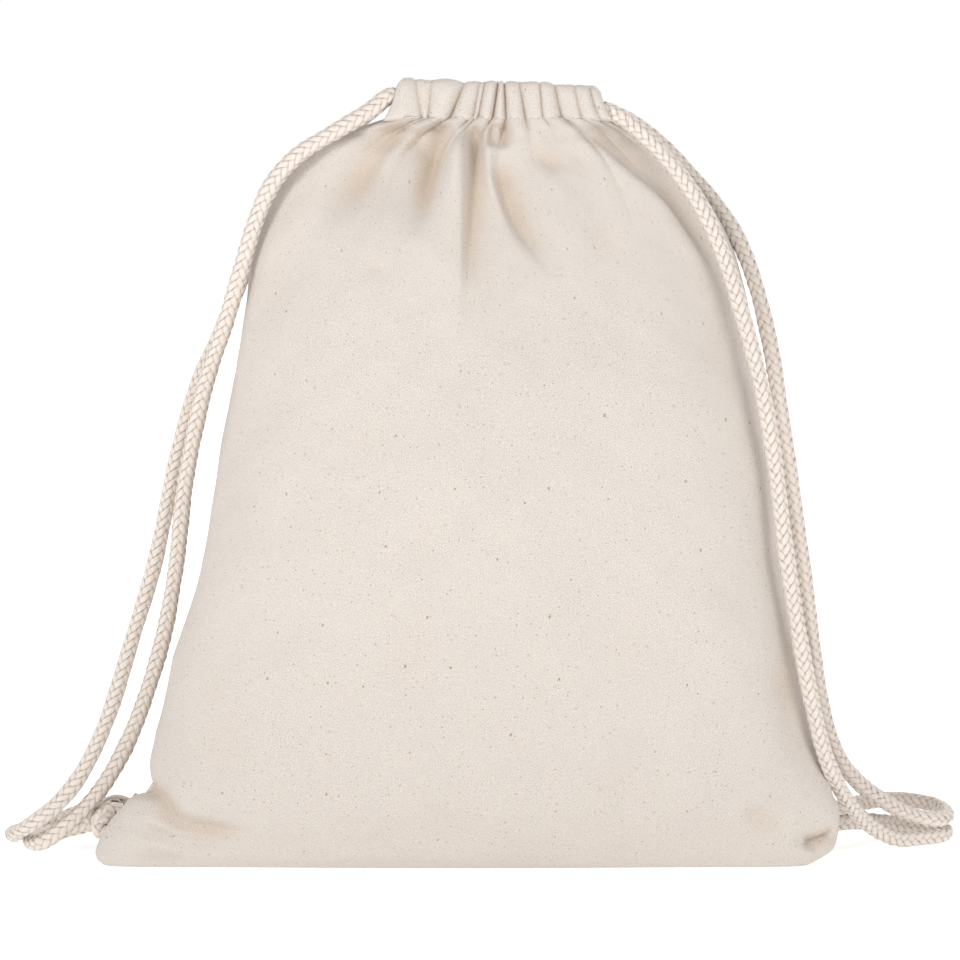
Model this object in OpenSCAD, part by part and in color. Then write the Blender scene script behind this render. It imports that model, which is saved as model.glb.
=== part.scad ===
// Drawstring backpack in natural cotton: a stuffed cloth sack that stands on its base, with its
// mouth drawn shut by two braided cords. Each cord runs through the front and the back channel,
// turns round the far side slit and comes out on its own side as two strands. The strands hang
// down to the bottom corner, pass through a tape loop in the side seam and end in a knot.
// Origin: middle of the base, on the floor. +Z is up, the front faces -Y.

/* [Bag] */
// Height of the bag from the floor to the top of its gathered mouth
bag_h = 366; // [358:1:374]
// Thickness of the cloth walls, with their slack
cloth_t = 1.6; // [1.4:0.1:1.8]
// How far the two bottom corners bend forward
ear_forward = 14; // [12:1:15]
// Depth of the soft pleats just below the mouth
pleat_depth = 1.5; // [0:0.1:1.6]
// Number of pleats across one panel
pleat_count = 8; // [5:1:9]

/* [Mouth] */
// Height of the channel that the cords run through
channel_h = 17; // [17:0.5:18]
// Thickness of one gathered channel
channel_t = 11.2; // [11.2:0.1:12]
// Gap between the two channels while the mouth is drawn shut
mouth_gap = 6.6; // [6.4:0.2:7.4]
// Left end of the gathered channels
mouth_left = -33; // [-34:0.5:-32]
// Right end of the gathered channels
mouth_right = 62.5; // [61:0.5:63]
// Number of ruffles along one channel
ruffle_count = 11; // [8:1:14]
// Depth of one ruffle
ruffle_depth = 1; // [0.4:0.1:1.2]

/* [Cords] */
// Diameter of the braided cords
cord_d = 7.2; // [7:0.1:7.2]
// Number of flat sides on a cord
cord_sides = 8; // [8:1:10]

/* [Corner loops] */
// Width of the loop's tape
tape_w = 9; // [7:0.5:9]
// Thickness of the loop's tape
tape_t = 1.2; // [0.8:0.1:1.2]
// Radius of a knot
knot_r = 10; // [9:0.25:10]
// Length of a knot along its cord
knot_len = 16; // [13:0.5:16]

/* [Hidden] */

cloth_colour = [0.93, 0.89, 0.84];
seam_colour = [0.88, 0.83, 0.76];
thread_colour = [0.97, 0.95, 0.91];
cord_colour = [0.92, 0.87, 0.81];

// The bag's outline from the floor up, as rows of
// [height, middle in x, half width, half depth, squareness of the cross-section].
profile = [
    [0, -5, 166, 28, 2.6],
    [8, -1, 174, 40, 1.9],
    [24, 6, 168, 52, 1.8],
    [44, 9.5, 159, 60, 2.0],
    [84, 12, 150.5, 68, 2.3],
    [130, 14, 141, 71, 2.4],
    [175, 14.5, 133.5, 69, 2.4],
    [218, 15.5, 126, 62, 2.4],
    [258, 14.5, 119, 51, 2.3],
    [288, 12, 113, 40.5, 2.2],
    [308, 10, 105, 32.5, 2.2],
    [323, 8.5, 96, 26, 2.2],
    [336, 9, 82, 20, 2.3],
    [344, 12, 65, 16, 2.6],
    [348.6, 14.7, 49, 14.3, 4],
];
rings_per_row = 2;       // rings from one row of the profile to the next
panel_steps = 40;        // steps across a panel from seam to seam
seam_gap = 0.15;         // half the gap between the two panels at their seams
ear_top = 70;            // height above which the corners no longer bend forward
pleat_bottom = 250;      // height at which the pleats have faded out

channel_z = bag_h - channel_h;
channel_y = (mouth_gap + channel_t) / 2;
slot_d = cord_d + 0.7;
slot_h = 2 * cord_d + 0.8;
cord_step = cord_d / 2 + 0.1;
cord_mid_z = channel_z + channel_h / 2;
cord_clear = 1.0;        // gap between two stretches of one cord on different bodies
turn_inset = 13.3;       // how far inside the channel's end a cord turns back
floor_clear = 0.2;

// Routes of the four free strands, from the channel's end down to the knot.
left_front_route = [
    [-33.4, -8.9, 360.6], [-38, -10, 359], [-45.5, -12.5, 353], [-62, -16, 343],
    [-78, -17, 333], [-90, -17, 320], [-98, -16, 303], [-105, -13, 281], [-113, -9, 254],
    [-124, -2, 221], [-133, 4, 178], [-138, 8, 138], [-145, 11, 102], [-157, 13, 65],
    [-169, 13, 40], [-181, 12, 23.5], [-193, 11, 12.5], [-203, 15, 5.5], [-210, 28, 4],
    [-206, 45, 4], [-195, 57, 5], [-181, 55, 8.5], [-171.5, 42, 11], [-169.5, 24.2, 11.3],
];
left_back_route = [
    [-33.4, 8.9, 360.6], [-38, 10, 359.2], [-46, 13, 352.5], [-62, 16, 341], [-78, 17, 330],
    [-90, 17, 316], [-98, 15, 299], [-106, 12, 276], [-117, 11, 248], [-129, 12, 221],
    [-139, 14, 184], [-148.5, 16, 140], [-159.5, 15, 103], [-171, 12, 66], [-182.5, 9, 41],
    [-194, 7, 26], [-207, 9, 15.5], [-216, 20, 9], [-219, 38, 6], [-213, 56, 5.5],
    [-200, 68, 8], [-183, 66, 14.5], [-172, 48, 18.5], [-169.5, 24.2, 18.7],
];
right_front_route = [
    [62.9, -8.9, 354], [68, -10, 352], [75, -13, 348], [87, -18, 337], [99, -22, 323],
    [110, -26, 306], [119.5, -30, 284], [127, -34, 260], [135, -38, 230], [141.5, -40, 195],
    [147.5, -39, 150], [154, -34, 112], [160.5, -28, 80], [168, -18, 52], [178, -2, 31],
    [190, 15, 15.5], [205, 28, 5.5], [219, 37, 4], [230, 46.5, 4], [232.8, 59.5, 4], [226, 70.5, 4],
    [212.5, 72.8, 5], [199, 62, 8], [183, 41, 11], [172, 34.4, 10.4], [162.8, 34, 10.3],
];
right_back_route = [
    [62.9, 8.9, 354], [68, 10, 353], [77, 14, 348.5], [90, 18, 339], [103, 17, 326],
    [116, 12, 311], [127.5, 4, 293], [136, -3, 270], [143, -8, 239], [148.5, -10, 203],
    [155.5, -9, 157], [162, -3, 112], [167.5, 5, 76], [175.5, 13, 50], [186, 22, 34.5],
    [198, 29, 24.5], [212, 36, 16], [226, 42, 12], [233, 54, 12.5], [228, 68, 15.5],
    [212, 71, 17.5], [196, 59, 18.5], [182, 40, 18.5], [172, 34.3, 17.8], [162.8, 34, 17.7],
];

left_hole = [-169, 33, 15];
left_root = [-152.5, 4, 39];
right_hole = [168, 34, 14];
right_root = [172, 3, 43];
left_knot_place = [-170.5, 24, 15];
right_knot_place = [162.6, 34, 14];

// ---------------------------------------------------------------- smooth curves

// Point at t between b and c on the smooth curve through a, b, c and d.
function smooth_point(a, b, c, d, t) =
    b + t * ((c - a) / 2 + t * ((2 * a - 5 * b + 4 * c - d) / 2
    + t * (3 * b - a - 3 * c + d) / 2));

// The points of a list with extra ones on a smooth curve between them.
function smooth(p, per) = [
    for (i = [0 : len(p) - 2])
        for (k = [0 : per - 1])
            smooth_point(p[max(i - 1, 0)], p[i], p[i + 1], p[min(i + 2, len(p) - 1)], k / per),
    p[len(p) - 1],
];

function fade(low, high, x) =
    let (t = min(1, max(0, (x - low) / (high - low)))) t * t * (3 - 2 * t);

// ---------------------------------------------------------------- the bag's shape

rings = smooth(profile, rings_per_row);

function power(base, e) = base <= 1e-9 ? 0 : pow(base, e);

// Point of one panel: side is -1 for the front and 1 for the back, a runs from 0 at the left
// seam to 180 at the right seam, inset moves the point into the bag.
function panel_point(ring, side, a, inset) =
    let (
        e = 2 / ring[4],
        c = cos(a),
        across = -sign(c) * power(abs(c), e),
        depth = power(sin(a), e),
        pleat = pleat_depth * fade(pleat_bottom, 350, ring[0]) * depth
            * cos(360 * pleat_count * across / 2),
        ear = ear_forward * pow(abs(across), 5) * (1 - fade(10, ear_top, ring[0]))
    )
    [
        ring[1] + (ring[2] - inset) * across,
        side * (seam_gap + (ring[3] - inset) * depth + pleat) - ear,
        max(ring[0], inset),
    ];

// The row of points along the fold of the base, where the two panels meet under the bag.
function base_point(side, a, inset) =
    let (p = panel_point(rings[0], side, a, inset), ear = ear_forward * pow(abs(cos(a)), 5))
    [p[0], side * seam_gap - ear, inset];

function panel_row(j, side, inset) = [
    for (i = [0 : panel_steps])
        let (a = 180 * i / panel_steps)
        j == 0 ? base_point(side, a, inset) : panel_point(rings[j - 1], side, a, inset),
];

// A closed wall between an outer and an inner grid of points.
module wall(side) {
    rows = len(rings) + 1;
    n = panel_steps + 1;
    outer = [for (j = [0 : rows - 1]) each panel_row(j, side, 0)];
    inner = [for (j = [0 : rows - 1]) each panel_row(j, side, cloth_t)];
    m = rows * n;
    skin = [
        for (j = [0 : rows - 2])
            for (i = [0 : n - 2])
                let (p = j * n + i)
                each [[p, p + n, p + n + 1], [p, p + n + 1, p + 1],
                      [m + p, m + p + 1, m + p + n + 1], [m + p, m + p + n + 1, m + p + n]],
    ];
    rims = [
        for (i = [0 : n - 2])
            let (q = (rows - 1) * n + i)
            each [[i, i + 1, m + i + 1], [i, m + i + 1, m + i],
                  [q, m + q, m + q + 1], [q, m + q + 1, q + 1]],
        for (j = [0 : rows - 2])
            let (p = j * n, q = j * n + n - 1)
            each [[p, m + p, m + p + n], [p, m + p + n, p + n],
                  [q, q + n, m + q + n], [q, m + q + n, m + q]],
    ];
    faces = [each skin, each rims];
    polyhedron(
        points = [each outer, each inner],
        faces = side < 0 ? faces : [for (f = faces) [f[2], f[1], f[0]]]
    );
}

module front_panel() {
    color(cloth_colour) wall(-1);
}

module back_panel() {
    color(cloth_colour) wall(1);
}

// ---------------------------------------------------------------- seams inside the bag

// A flat strip: each row of places holds [x of its outer edge, y, z].
module strip(places, width, thick, inward) {
    n = len(places);
    points = [
        for (p = places)
            each [
                [p[0], p[1] - thick / 2, p[2]],
                [p[0] + inward * width, p[1] - thick / 2, p[2]],
                [p[0] + inward * width, p[1] + thick / 2, p[2]],
                [p[0], p[1] + thick / 2, p[2]],
            ],
    ];
    sides = [
        for (i = [0 : n - 2])
            for (k = [0 : 3])
                let (a = 4 * i + k, b = 4 * i + (k + 1) % 4)
                each [[a, b, b + 4], [a, b + 4, a + 4]],
    ];
    caps = [[3, 2, 1, 0], [4 * n - 4, 4 * n - 3, 4 * n - 2, 4 * n - 1]];
    faces = [each sides, each caps];
    polyhedron(points, inward > 0 ? faces : [for (f = faces) [for (k = [len(f) - 1 : -1 : 0]) f[k]]]);
}

slit_z = 344.8;           // height of the bottom of the side slits
seam_w = 8;
seam_t = 1;
seam_rings = [for (j = [2 : 2 : len(rings) - 5]) rings[j]];

function seam_place(ring, inward) = [
    ring[1] - inward * (ring[2] - cloth_t - 3),
    -ear_forward * (1 - fade(10, ear_top, ring[0])) * 0.8,
    ring[0],
];

module side_seam(inward) {
    color(seam_colour)
        strip([for (r = seam_rings) seam_place(r, inward)], seam_w, seam_t, inward);
}

module bottom_seam() {
    color(seam_colour)
        translate([-130, -seam_t / 2, cloth_t + floor_clear])
            cube([260, seam_t, seam_w]);
}

// A dense row of stitches that locks the bottom of a side slit.
module bartack(x) {
    color(thread_colour)
        translate([x, 0, slit_z])
            cube([2, 10, 1.6], center = true);
}

// ---------------------------------------------------------------- channels at the mouth

// Outline of a channel seen from above: the outer side is ruffled, the side at the mouth is flat.
function ruffle_y(x) =
    let (s = (x - mouth_left) / (mouth_right - mouth_left))
    ruffle_depth * cos(360 * ruffle_count * s) * sin(180 * s);

channel_steps = 88;
channel_outline = [
    for (i = [0 : channel_steps])
        let (x = mouth_left + (mouth_right - mouth_left) * i / channel_steps)
        [x, -mouth_gap / 2 - channel_t - ruffle_y(x)],
    [mouth_right, -mouth_gap / 2],
    [mouth_left, -mouth_gap / 2],
];

module channel() {
    difference() {
        translate([0, 0, channel_z])
            linear_extrude(height = channel_h)
                polygon(channel_outline);
        translate([mouth_left - 1, -channel_y - slot_d / 2, cord_mid_z - slot_h / 2])
            cube([mouth_right - mouth_left + 2, slot_d, slot_h]);
        // At both ends the wall at the mouth stops short, and a cord turns back through the gap.
        translate([mouth_left - 1, -channel_y, cord_mid_z - slot_h / 2])
            cube([turn_inset + 5, channel_t, slot_h]);
        translate([mouth_right - turn_inset - 4, -channel_y, cord_mid_z - slot_h / 2])
            cube([turn_inset + 5, channel_t, slot_h]);
    }
}

module front_channel() {
    color(cloth_colour) channel();
}

module back_channel() {
    color(cloth_colour) mirror([0, 1, 0]) channel();
}

stitch_pitch = 3.2;
stitch_len = 2.2;
stitch_t = 0.5;

module topstitch() {
    for (x = [mouth_left + 6 : stitch_pitch : mouth_right - 8])
        translate([x, -mouth_gap / 2 - channel_t - ruffle_depth - stitch_t - 0.05, channel_z + 0.6])
            cube([stitch_len, stitch_t, stitch_t]);
}

module front_topstitch() {
    color(thread_colour) topstitch();
}

module back_topstitch() {
    color(thread_colour) mirror([0, 1, 0]) topstitch();
}

// ---------------------------------------------------------------- cords

function unit(v) = v / norm(v);

function tangent(p, i) = unit(p[min(i + 1, len(p) - 1)] - p[max(i - 1, 0)]);

// The side direction n carried on to the next ring, square to that ring's direction t.
function carry(n, t) = unit(n - (n * t) * t);

module tube(route) {
    last = len(route) - 1;
    sides = [
        for (i = 0, n = carry([0, 1, 0.2], tangent(route, 0)); i <= last;
             i = i + 1, n = i <= last ? carry(n, tangent(route, i)) : n)
            n,
    ];
    points = [
        for (i = [0 : last])
            let (t = tangent(route, i), n = sides[i], b = cross(t, n))
            for (k = [0 : cord_sides - 1])
                let (a = 360 * (k + 0.5) / cord_sides)
                route[i] + cord_d / 2 * (cos(a) * n + sin(a) * b),
    ];
    skin = [
        for (i = [0 : last - 1])
            for (k = [0 : cord_sides - 1])
                let (a = i * cord_sides + k, b = i * cord_sides + (k + 1) % cord_sides)
                each [[a, a + cord_sides, b + cord_sides], [a, b + cord_sides, b]],
    ];
    polyhedron(
        points,
        [
            [for (k = [0 : cord_sides - 1]) k],
            each skin,
            [for (k = [cord_sides - 1 : -1 : 0]) last * cord_sides + k],
        ]
    );
}

module free_strand(route) {
    color(cord_colour) tube(route);
}

// The straight stretch of a cord inside a channel. high is 1 for the upper cord, -1 for the
// lower one. It stops where the cord turns back, at the end that turn names.
module channel_run(side, high, turn) {
    left = mouth_left + (turn < 0 ? turn_inset : 1) + cord_clear;
    right = mouth_right - (turn > 0 ? turn_inset : 1) - cord_clear;
    color(cord_colour)
        translate([left, side * channel_y, cord_mid_z + high * cord_step])
            rotate([0, 90, 0])
                cylinder(h = right - left, d = cord_d, $fn = 32);
}

// The half ring in which a cord passes from the front channel to the back one.
module cord_turn(high, turn) {
    x = turn > 0 ? mouth_right - turn_inset : mouth_left + turn_inset;
    color(cord_colour)
        translate([x, 0, cord_mid_z + high * cord_step])
            rotate([0, 0, turn > 0 ? -90 : 90])
                rotate_extrude(angle = 180, $fn = 64)
                    translate([channel_y, 0])
                        circle(d = cord_d, $fn = 32);
}

tail_len = 10;

// A knot as a barrel with a waist and two short tails, along +X from its flat entry face.
module knot(tail_turn) {
    color(cord_colour) {
        rotate([0, 90, 0])
            rotate_extrude($fn = 48)
                polygon([
                    [0, 0], [knot_r * 0.8, 0], [knot_r, knot_len * 0.2],
                    [knot_r * 0.92, knot_len * 0.5], [knot_r, knot_len * 0.8],
                    [knot_r * 0.7, knot_len], [0, knot_len],
                ]);
        for (side = [-1, 1])
            rotate([tail_turn, 0, 0])
                translate([knot_len - 2, 0, side * 3.8])
                    rotate([0, 90 + side * 8, 0])
                        cylinder(h = tail_len, d = cord_d - 0.4, $fn = 24);
    }
}

// ---------------------------------------------------------------- tape loops at the corners

loop_in = cord_d + 1.8;

// Places its children with their x, y and z axes along three directions, at a point.
module placed(x, y, z, at) {
    multmatrix([
        [x[0], y[0], z[0], at[0]],
        [x[1], y[1], z[1], at[1]],
        [x[2], y[2], z[2], at[2]],
    ])
        children();
}

// A loop of tape: a ring round both strands, whose hole runs along axis, and the two layers of
// the tape on each other, twisted away from the ring towards their root in the seam.
module tape_loop(hole, root, axis) {
    outer = loop_in + tape_t;
    out = carry(root - hole, axis);
    start = hole + out * (loop_in + tape_t / 2);
    leg = unit(root - start);
    flat = carry(axis, leg);
    color(seam_colour) {
        placed(out, cross(axis, out), axis, hole)
            linear_extrude(height = tape_w, center = true)
                difference() {
                    circle(r = outer, $fn = 48);
                    circle(r = loop_in, $fn = 48);
                }
        placed(leg, cross(flat, leg), flat, start)
            translate([0, -tape_t, -tape_w / 2])
                cube([norm(root - start), 2 * tape_t, tape_w]);
    }
}

module corner_loop_left() {
    tape_loop(left_hole, left_root, [0, 1, 0]);
}

module corner_loop_right() {
    tape_loop(right_hole, right_root, [1, 0, 0]);
}

module left_cord_knot() {
    translate(left_knot_place) rotate([0, 0, -90]) knot(0);
}

module right_cord_knot() {
    translate(right_knot_place) rotate([0, 0, 180]) knot(0);
}

front_panel();
back_panel();
side_seam(1);  // side_seam_left
side_seam(-1);  // side_seam_right
bottom_seam();
bartack(-54.2);  // bartack_left
bartack(78.5);  // bartack_right
corner_loop_left();
corner_loop_right();
front_channel();
front_topstitch();
back_channel();
back_topstitch();
channel_run(-1, 1, 1);  // left_cord_front_run
channel_run(1, 1, 1);  // left_cord_back_run
cord_turn(1, 1);  // left_cord_turn
free_strand(left_front_route);  // left_cord_front_strand
free_strand(left_back_route);  // left_cord_back_strand
left_cord_knot();
channel_run(-1, -1, -1);  // right_cord_front_run
channel_run(1, -1, -1);  // right_cord_back_run
cord_turn(-1, -1);  // right_cord_turn
free_strand(right_front_route);  // right_cord_front_strand
free_strand(right_back_route);  // right_cord_back_strand
right_cord_knot();
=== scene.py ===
"""Looks of the drawstring backpack: a stuffed cotton sack, drawn shut by two braided cords.

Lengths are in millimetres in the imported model's own frame, and MM turns them into metres.
"""
import math

import bpy
import numpy as np
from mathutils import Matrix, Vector


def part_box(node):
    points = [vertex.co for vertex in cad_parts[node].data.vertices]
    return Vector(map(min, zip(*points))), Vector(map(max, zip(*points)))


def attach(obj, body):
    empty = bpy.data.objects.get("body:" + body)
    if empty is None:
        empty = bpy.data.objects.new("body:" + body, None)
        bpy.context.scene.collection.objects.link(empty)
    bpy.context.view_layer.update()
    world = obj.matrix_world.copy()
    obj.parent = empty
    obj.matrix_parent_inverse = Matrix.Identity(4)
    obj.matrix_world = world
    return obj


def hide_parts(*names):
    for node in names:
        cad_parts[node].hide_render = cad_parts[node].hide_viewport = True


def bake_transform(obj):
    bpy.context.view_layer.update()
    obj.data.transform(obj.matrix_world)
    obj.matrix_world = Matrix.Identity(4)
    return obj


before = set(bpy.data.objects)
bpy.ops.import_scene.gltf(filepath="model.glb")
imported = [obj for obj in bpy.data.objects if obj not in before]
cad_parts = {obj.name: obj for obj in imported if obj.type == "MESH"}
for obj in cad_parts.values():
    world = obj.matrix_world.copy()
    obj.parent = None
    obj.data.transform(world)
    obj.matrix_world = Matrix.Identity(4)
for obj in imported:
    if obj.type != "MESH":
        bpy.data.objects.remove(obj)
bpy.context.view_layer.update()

MM = 0.001
UP = np.array([0.0, 0.0, 1.0])


# ---------------- camera and light

CAMERA_LENS = 159.6
CAMERA_PLACE = (0.0061, -2.0, 0.330)
CAMERA_DOWN = 4.29        # degrees by which the camera looks down


def make_camera():
    data = bpy.data.cameras.new("camera")
    data.lens = CAMERA_LENS
    data.sensor_width = 36
    data.clip_end = 50
    camera = bpy.data.objects.new("camera", data)
    camera.location = CAMERA_PLACE
    camera.rotation_euler = (math.radians(90 - CAMERA_DOWN), 0, 0)
    bpy.context.scene.collection.objects.link(camera)
    bpy.context.scene.camera = camera


SKY_STRENGTH = 0.52       # light from all round, which the camera sees as plain white
LIT_PLACE = (0, 0, 0.18)
LIGHTS = {                # place, diameter, watts
    "key": ((-1.15, -1.7, 1.15), 0.8, 20.5),
    "fill": ((1.6, -1.5, 0.5), 1.4, 11.5),
    "back": ((0.7, 1.7, 1.5), 1.0, 22),
}


def area_light(name, place, size, watts):
    data = bpy.data.lights.new(name, "AREA")
    data.shape = "DISK"
    data.size = size
    data.energy = watts
    lamp = bpy.data.objects.new(name, data)
    lamp.location = place
    lamp.rotation_euler = (Vector(LIT_PLACE) - lamp.location).to_track_quat("-Z", "Y").to_euler()
    bpy.context.scene.collection.objects.link(lamp)


def make_light():
    world = bpy.data.worlds.new("studio")
    world.use_nodes = True
    tree = world.node_tree
    light = tree.nodes["Background"]
    light.inputs["Color"].default_value = (1.0, 1.0, 1.0, 1.0)
    light.inputs["Strength"].default_value = SKY_STRENGTH
    backdrop = tree.nodes.new("ShaderNodeBackground")
    backdrop.inputs["Color"].default_value = (1.0, 1.0, 1.0, 1.0)
    seen = tree.nodes.new("ShaderNodeLightPath")
    either = tree.nodes.new("ShaderNodeMixShader")
    tree.links.new(seen.outputs["Is Camera Ray"], either.inputs[0])
    tree.links.new(light.outputs[0], either.inputs[1])
    tree.links.new(backdrop.outputs[0], either.inputs[2])
    tree.links.new(either.outputs[0], tree.nodes["World Output"].inputs["Surface"])
    bpy.context.scene.world = world
    bpy.context.scene.view_settings.view_transform = "Standard"
    for name, (place, size, watts) in LIGHTS.items():
        area_light(name, place, size, watts)


# ---------------- materials

class Nodes:
    """Short calls for building a material's node tree."""

    def __init__(self, name, roughness, sheen):
        self.material = bpy.data.materials.new(name)
        self.material.use_nodes = True
        self.tree = self.material.node_tree
        self.shader = self.tree.nodes["Principled BSDF"]
        for key, value in (("Roughness", roughness), ("Specular IOR Level", 0.2),
                           ("Sheen Weight", sheen), ("Sheen Roughness", 0.6)):
            self.shader.inputs[key].default_value = value

    def add(self, kind, **settings):
        node = self.tree.nodes.new(kind)
        for key, value in settings.items():
            setattr(node, key, value)
        return node

    def link(self, value, socket):
        if isinstance(value, bpy.types.NodeSocket):
            self.tree.links.new(value, socket)
        elif isinstance(value, (int, float)) or len(value) == len(socket.default_value):
            socket.default_value = value
        else:
            socket.default_value = (*value, 1.0)

    def math(self, operation, a, b=0.0, c=0.0):
        node = self.add("ShaderNodeMath", operation=operation)
        for value, socket in zip((a, b, c), node.inputs):
            self.link(value, socket)
        return node.outputs[0]

    def times(self, a, b):
        return self.math("MULTIPLY", a, b)

    def plus(self, a, b):
        return self.math("ADD", a, b)

    def scaled(self, vector, scale):
        node = self.add("ShaderNodeVectorMath", operation="MULTIPLY")
        self.link(vector, node.inputs[0])
        self.link(scale, node.inputs[1])
        return node.outputs[0]

    def noise(self, vector, scale, detail=2.0, roughness=0.5):
        node = self.add("ShaderNodeTexNoise")
        for key, value in (("Vector", vector), ("Scale", scale), ("Detail", detail),
                           ("Roughness", roughness)):
            self.link(value, node.inputs[key])
        return node.outputs["Fac"]

    def ramp(self, value, low, high, to_low=0.0, to_high=1.0):
        node = self.add("ShaderNodeMapRange", clamp=True)
        for v, socket in zip((value, low, high, to_low, to_high), node.inputs):
            self.link(v, socket)
        return node.outputs[0]

    def mix(self, factor, a, b, blend="MIX"):
        node = self.add("ShaderNodeMix", data_type="RGBA", blend_type=blend)
        self.link(factor, node.inputs[0])
        self.link(a, node.inputs[6])
        self.link(b, node.inputs[7])
        return node.outputs[2]

    def tinted(self, colour, tone):
        """The colour times a number."""
        grey = self.add("ShaderNodeCombineColor")
        for socket in grey.inputs:
            self.link(tone, socket)
        return self.mix(1.0, colour, grey.outputs[0], blend="MULTIPLY")

    def bump(self, height, distance):
        node = self.add("ShaderNodeBump")
        node.inputs["Distance"].default_value = distance
        node.inputs["Strength"].default_value = 1.0
        self.link(height, node.inputs["Height"])
        self.link(node.outputs[0], self.shader.inputs["Normal"])

    def attribute(self, name, output="Vector"):
        return self.add("ShaderNodeAttribute", attribute_name=name).outputs[output]

    def place(self):
        return self.add("ShaderNodeTexCoord").outputs["Object"]

    def split(self, vector):
        node = self.add("ShaderNodeSeparateXYZ")
        self.link(vector, node.inputs[0])
        return node.outputs

    def specks(self, vector, cell, radius, share):
        """1 in irregular dots of about that radius, in that share of the cells, and 0 elsewhere."""
        node = self.add("ShaderNodeTexVoronoi", voronoi_dimensions="2D")
        wobble = self.add("ShaderNodeVectorMath", operation="MULTIPLY_ADD")
        grain = self.add("ShaderNodeTexNoise")
        self.link(vector, grain.inputs["Vector"])
        grain.inputs["Scale"].default_value = 0.6 / radius
        self.link(grain.outputs["Color"], wobble.inputs[0])
        self.link((1.6 * radius,) * 3, wobble.inputs[1])
        self.link(vector, wobble.inputs[2])
        self.link(wobble.outputs[0], node.inputs["Vector"])
        node.inputs["Scale"].default_value = 1 / cell
        chosen = self.math("LESS_THAN", self.split(node.outputs["Color"])[0], share)
        size = self.math("MULTIPLY_ADD", self.split(node.outputs["Color"])[1],
                         0.8 * radius / cell, 0.3 * radius / cell)
        inside = self.math("LESS_THAN", node.outputs["Distance"], size)
        return self.times(chosen, inside)


CLOTH_COLOUR = (0.658, 0.599, 0.545)
CORD_COLOUR = (0.805, 0.722, 0.652)
TAPE_COLOUR = (0.72, 0.65, 0.58)
THREAD_COLOUR = (0.78, 0.73, 0.67)
SPECK_COLOUR = (0.30, 0.17, 0.09)
# painted shade in the gaps between a cord's plaits
GAP_SHADE_COLOUR = (0.47, 0.365, 0.28)
FOLD_SHADE_TINT = (0.94, 0.86, 0.77)    # painted shade: the warm darkening that shadow and the cloth's own bounced light give deep in a fold


def cloth_material(name, colour=CLOTH_COLOUR, pitch=0.85, relief=0.00006, speck_share=0.5):
    """Weave along the cloth's own thread directions, with slubs, small rumples, seed flecks and
    painted shade deep in the folds.
    """
    m = Nodes(name, roughness=0.92, sheen=0.12)
    threads = m.attribute("threads")
    u, v, _ = m.split(threads)
    wave_u = m.math("SINE", m.times(u, 2 * math.pi / (pitch * MM)))
    wave_v = m.math("SINE", m.times(v, 2 * math.pi / (pitch * MM)))
    weave = m.times(wave_u, wave_v)
    twill = m.math("SINE", m.times(m.plus(u, v), math.pi / (pitch * MM)))
    warp = m.noise(m.scaled(threads, (1.0, 0.06, 1.0)), 2600, detail=3)
    weft = m.noise(m.scaled(threads, (0.06, 1.0, 1.0)), 2600, detail=3)
    slubs = m.plus(warp, weft)
    cloudy = m.noise(threads, 38, detail=3)
    tone = m.ramp(slubs, 0.75, 1.25, 0.955, 1.03)
    tone = m.times(tone, m.ramp(cloudy, 0.3, 0.7, 0.985, 1.01))
    grain = m.noise(threads, 1500, detail=2)
    tone = m.times(tone, m.ramp(weave, -1, 1, 0.975, 1.015))
    tone = m.times(tone, m.ramp(twill, -1, 1, 0.965, 1.02))
    tone = m.times(tone, m.ramp(grain, 0.3, 0.7, 0.86, 1.09))
    base = m.tinted(colour, tone)
    # painted shade: deep in the folds the colour is multiplied by a warm tint that stands in for
    # shadow and bounced light
    base = m.mix(m.attribute("painted_shade", "Fac"), base, m.mix(1.0, base, FOLD_SHADE_TINT, blend="MULTIPLY"))
    small = m.specks(threads, 0.0048, 0.00040, speck_share)
    large = m.specks(m.scaled(threads, (1.0, 0.8, 1.0)), 0.023, 0.00062, 0.7)
    pale = m.specks(m.scaled(threads, (0.8, 1.0, 1.0)), 0.0105, 0.0007, 0.5)
    base = m.mix(m.times(pale, 0.18), base, SPECK_COLOUR)
    base = m.mix(m.times(small, 0.48), base, SPECK_COLOUR)
    base = m.mix(m.times(large, 0.62), base, SPECK_COLOUR)
    m.link(base, m.shader.inputs["Base Color"])
    height = m.plus(m.times(weave, 0.5), m.times(slubs, 0.9))
    height = m.plus(height, m.times(grain, 1.5))
    height = m.plus(height, m.times(twill, 0.4))
    rumple = m.times(m.noise(threads, 75, detail=2), 7.0)
    crumple = m.times(m.noise(threads, 260, detail=2), 1.6)
    height = m.plus(height, m.plus(rumple, crumple))
    m.bump(height, relief)
    return m.material


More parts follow.
